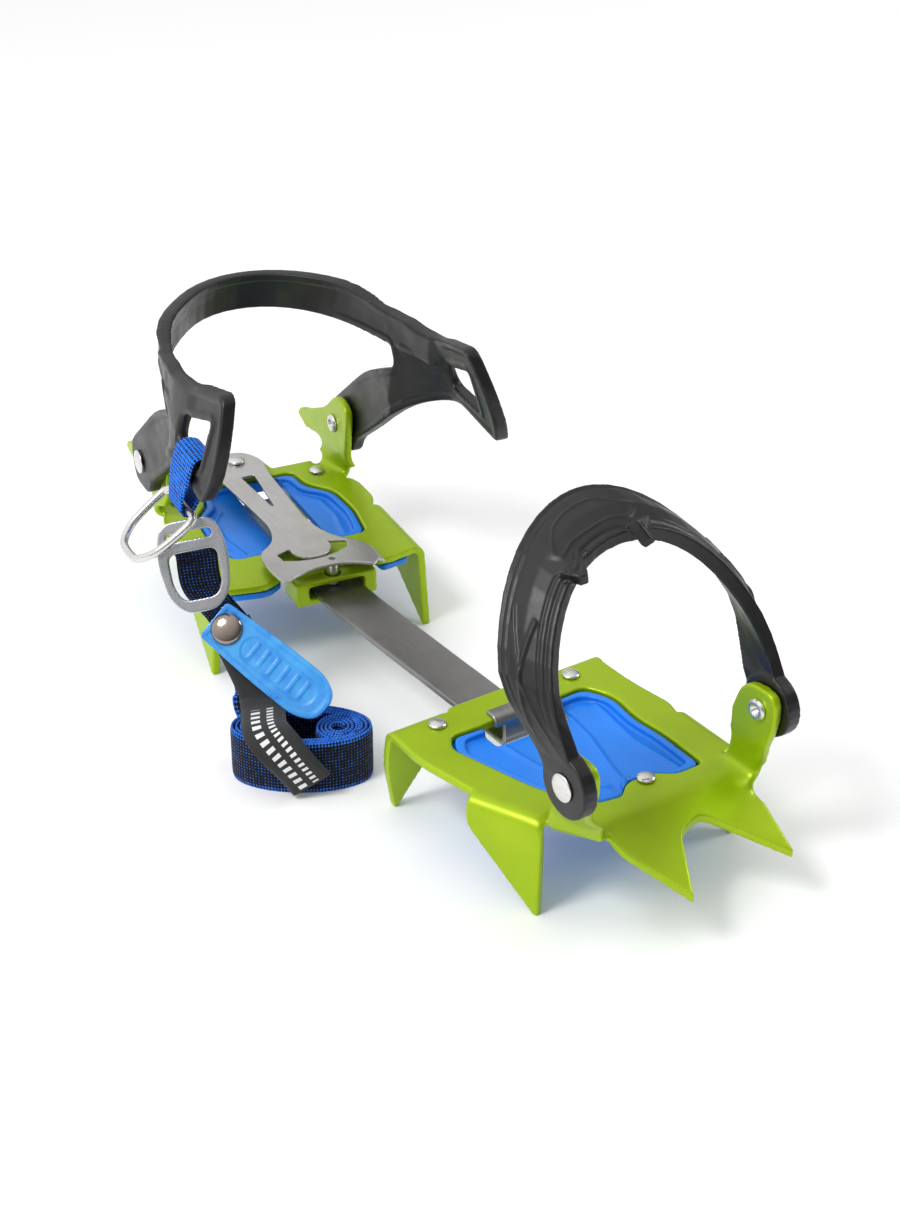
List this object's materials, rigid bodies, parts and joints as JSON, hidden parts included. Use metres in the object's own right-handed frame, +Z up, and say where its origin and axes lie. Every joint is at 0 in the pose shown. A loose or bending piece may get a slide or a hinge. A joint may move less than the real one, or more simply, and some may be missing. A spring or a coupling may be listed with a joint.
{
  "type": "crampon",
  "caption": "Hiking and ice crampon with pointed front and heel plates on a linking bar, a toe bail, a heel cage, snow plates and a buckled strap.",
  "frame": {"origin": "centre of the box round the whole part, on the plane that the points stand on", "axes": "+Z up from the ground to the boot, +Y from the toe to the heel, +X towards the inner side of the foot"},
  "size_m": [0.1392, 0.3314, 0.1281],
  "materials": {
    "alloy": "lime green satin anodised",
    "plastic": "black satin, fine texture",
    "snow_plastic": "blue satin",
    "steel": "satin steel",
    "bar_steel": "brushed along its length",
    "buckle_alloy": "brushed",
    "tab_plastic": "translucent blue",
    "webbing": "woven, dark with blue edges"
  },
  "bodies": {
    "front_section": {"front_plate": "alloy", "front_snow_plate": "snow_plastic", "front_rivet_1": "steel", "front_rivet_2": "steel", "front_rivet_3": "steel", "toe_rivet_outer": "steel", "toe_rivet_inner": "steel"},
    "bail": {"toe_bail": "plastic"},
    "bar": {"link_bar": "bar_steel"},
    "heel_section": {"heel_plate": "alloy", "heel_snow_plate": "snow_plastic", "heel_rivet_1": "steel", "heel_rivet_2": "steel", "lever_rivet": "steel", "lever_spacer": "steel", "heel_rivet_outer": "steel", "heel_rivet_inner": "steel"},
    "lock_lever": {"lever": "bar_steel", "lock_pin": "steel"},
    "cage": {"heel_cage": "plastic", "strap_loop": "webbing"},
    "ring": {"d_ring": "steel"},
    "strap": {"strap_buckle": "buckle_alloy", "strap_tail": "webbing", "strap_roll": "webbing", "strap_label": "webbing"},
    "tab": {"pull_tab": "tab_plastic", "tab_snap": "steel"}
  },
  "joints": [
    {"name": "toe_bail_swing", "type": "hinge", "parent": "front_section", "child": "bail", "pos_m": [0.01808, -0.14398, 0.0636], "axis": [-1, 0, 0], "range_deg": [-75, 45]},
    {"name": "bar_hook", "type": "hinge", "parent": "front_section", "child": "bar", "pos_m": [0.01628, -0.06998, 0.031], "axis": [1, 0, 0], "range_deg": [-5, 4]},
    {"name": "heel_slide", "type": "slide", "parent": "bar", "child": "heel_section", "axis": [0.1547, 0.988, 0], "range_m": [-0.008, 0.05]},
    {"name": "lever_lift", "type": "hinge", "parent": "heel_section", "child": "lock_lever", "pos_m": [0.02595, 0.13827, 0.0384], "axis": [-0.988, 0.1547, 0], "range_deg": [0, 9], "stiffness_Nm_per_rad": 3},
    {"name": "heel_cage_swing", "type": "hinge", "parent": "heel_section", "child": "cage", "pos_m": [0.02343, 0.12216, 0.0563], "axis": [-0.988, 0.1547, 0], "range_deg": [0, 50]},
    {"name": "d_ring_swing", "type": "hinge", "parent": "cage", "child": "ring", "pos_m": [-0.04757, 0.04198, 0.084], "axis": [0.1547, 0.988, 0], "range_deg": [-10, 20]},
    {"name": "strap_swing", "type": "hinge", "parent": "cage", "child": "strap", "pos_m": [-0.04757, 0.04198, 0.084], "axis": [-0.988, 0.1547, 0], "range_deg": [-50, 0]},
    {"name": "pull_tab_swing", "type": "hinge", "parent": "strap", "child": "tab", "pos_m": [-0.05195, 0.0222, 0.05185], "axis": [-0.866, 0.4698, -0.1712], "range_deg": [0, 60]}
  ],
  "couplings": [
    {"joint": "strap_swing", "follows": "heel_cage_swing", "ratio": -1}
  ]
}
